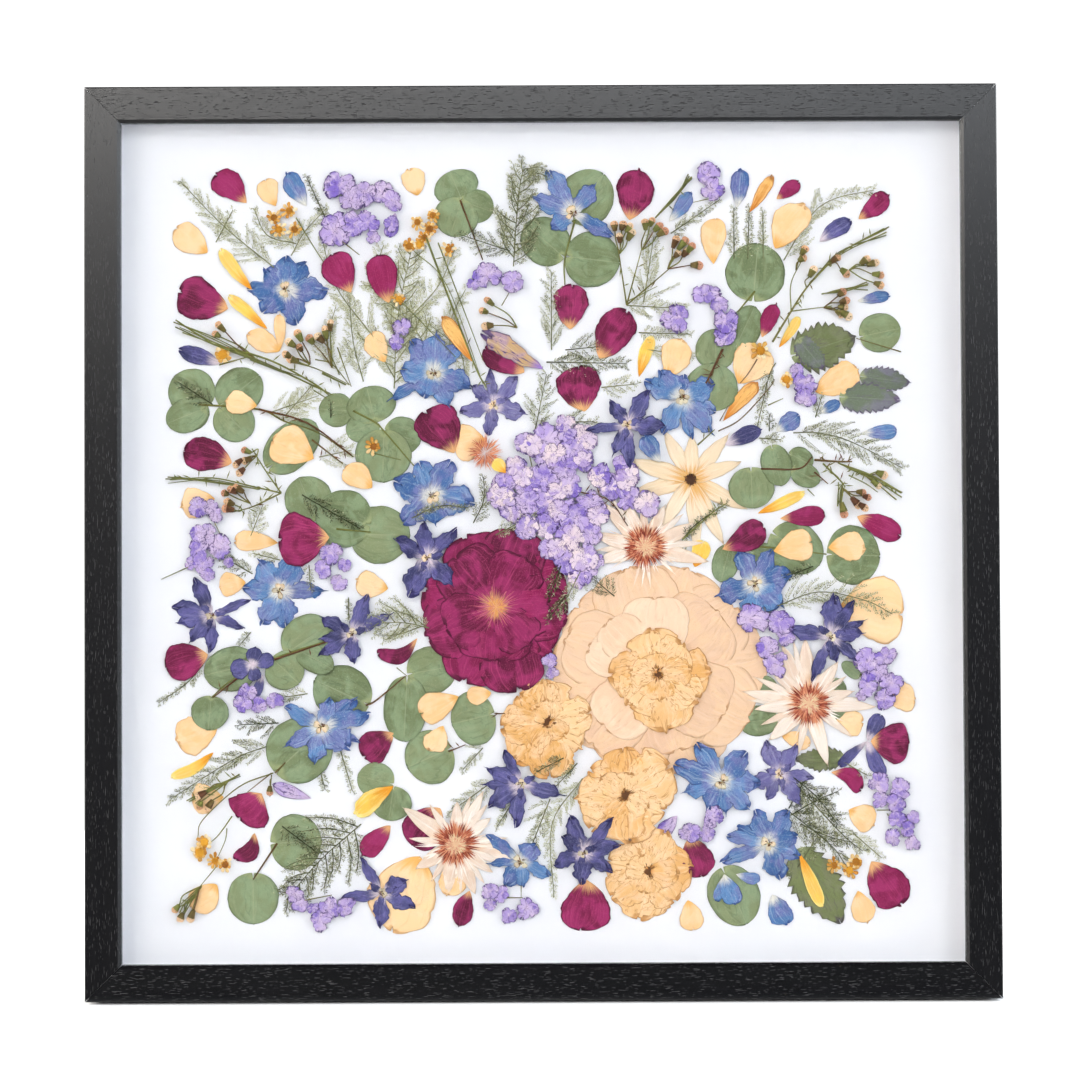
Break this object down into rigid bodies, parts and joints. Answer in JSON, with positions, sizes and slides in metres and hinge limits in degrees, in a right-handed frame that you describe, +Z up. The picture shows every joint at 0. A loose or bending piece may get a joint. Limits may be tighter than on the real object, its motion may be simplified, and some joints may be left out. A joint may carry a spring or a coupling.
{
  "type": "pressed flower frame",
  "caption": "Square glazed box frame of dark oak on a sawtooth hanger, with pressed flowers, loose petals, leaves and fern lying on a white card.",
  "frame": {"origin": "middle of the sawtooth hanger's toothed edge, on the back face of the top rail, where the wall nail bears", "axes": "+X to the right as seen from the front, +Y towards the wall, +Z up; the glass faces -Y"},
  "size_m": [0.53, 0.0273, 0.53],
  "materials": {
    "oak": "dark grey-black stained open-pore oak, low sheen",
    "glass": "clear float glass",
    "card": "white mount card with a slight tooth",
    "spacer": "white card strip",
    "board": "brown fibreboard, smooth face",
    "steel": "zinc-plated sheet steel",
    "cream_petal": "dried cream and peach petal, matt",
    "gold_petal": "dried golden yellow petal, matt",
    "burgundy_petal": "dried crimson rose petal, velvety",
    "blue_petal": "dried sky blue petal, crumpled",
    "indigo_petal": "dried indigo violet petal, crumpled",
    "lilac_petal": "dried lilac sepal with darker rim",
    "coral_floret": "dried coral florets in pale bracts",
    "leaf": "dried grey-green leaf, matt",
    "stem": "dried olive and brown stem"
  },
  "bodies": {
    "root": {"rail_top": "oak", "tab_top": "steel", "spacer_top": "spacer", "rail_left": "oak", "tab_left": "steel", "spacer_left": "spacer", "rail_bottom": "oak", "tab_bottom": "steel", "spacer_bottom": "spacer", "rail_right": "oak", "tab_right": "steel", "spacer_right": "spacer", "glass_pane": "glass", "mount_card": "card", "back_board": "board", "sawtooth_hanger": "steel", "peony_cream": "cream_petal", "rose_burgundy": "burgundy_petal", "star_flower": "cream_petal", "hydrangea_head": "lilac_petal", "rose_gold_1": "gold_petal", "rose_gold_2": "gold_petal", "rose_gold_3": "gold_petal", "rose_gold_4": "gold_petal", "astrantia_1": "coral_floret", "astrantia_2": "coral_floret", "astrantia_3": "coral_floret", "delphinium_1": "blue_petal", "delphinium_2": "blue_petal", "delphinium_3": "blue_petal", "delphinium_4": "blue_petal", "delphinium_5": "blue_petal", "delphinium_6": "blue_petal", "delphinium_7": "blue_petal", "delphinium_8": "blue_petal", "delphinium_9": "blue_petal", "delphinium_10": "blue_petal", "delphinium_11": "blue_petal", "larkspur_1": "indigo_petal", "larkspur_2": "indigo_petal", "larkspur_3": "indigo_petal", "larkspur_4": "indigo_petal", "larkspur_5": "indigo_petal", "larkspur_6": "indigo_petal", "larkspur_7": "indigo_petal", "larkspur_8": "indigo_petal", "larkspur_9": "indigo_petal", "larkspur_10": "indigo_petal", "eucalyptus_1": "leaf", "eucalyptus_2": "leaf", "eucalyptus_3": "leaf", "eucalyptus_4": "leaf", "eucalyptus_5": "leaf", "eucalyptus_6": "leaf", "eucalyptus_7": "leaf", "eucalyptus_8": "leaf", "eucalyptus_9": "leaf", "eucalyptus_10": "leaf", "eucalyptus_11": "leaf", "eucalyptus_12": "leaf"}
  },
  "joints": []
}
